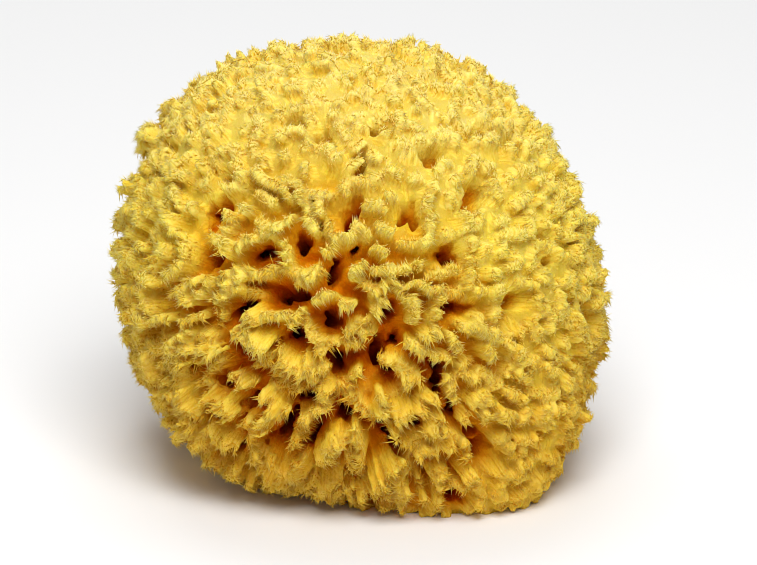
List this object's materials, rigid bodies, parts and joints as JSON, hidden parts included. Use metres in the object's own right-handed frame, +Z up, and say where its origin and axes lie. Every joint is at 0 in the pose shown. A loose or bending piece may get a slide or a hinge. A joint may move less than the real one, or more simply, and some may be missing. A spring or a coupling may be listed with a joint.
{
  "type": "sea sponge",
  "caption": "Round natural bath sponge with ragged woolly tufts and deep open channels, cut flat underneath so that it stands on its base.",
  "frame": {"origin": "middle of the flat cut base, on the surface that the sponge rests on", "axes": "+Z up out of the cut, +X to the right and +Y to the back as the picture shows it"},
  "size_m": [0.1401, 0.1331, 0.1208],
  "materials": {
    "spongin": "matte golden-yellow spongin wool, amber to brown in the channels"
  },
  "bodies": {
    "root": {"sponge": "spongin"}
  },
  "joints": []
}
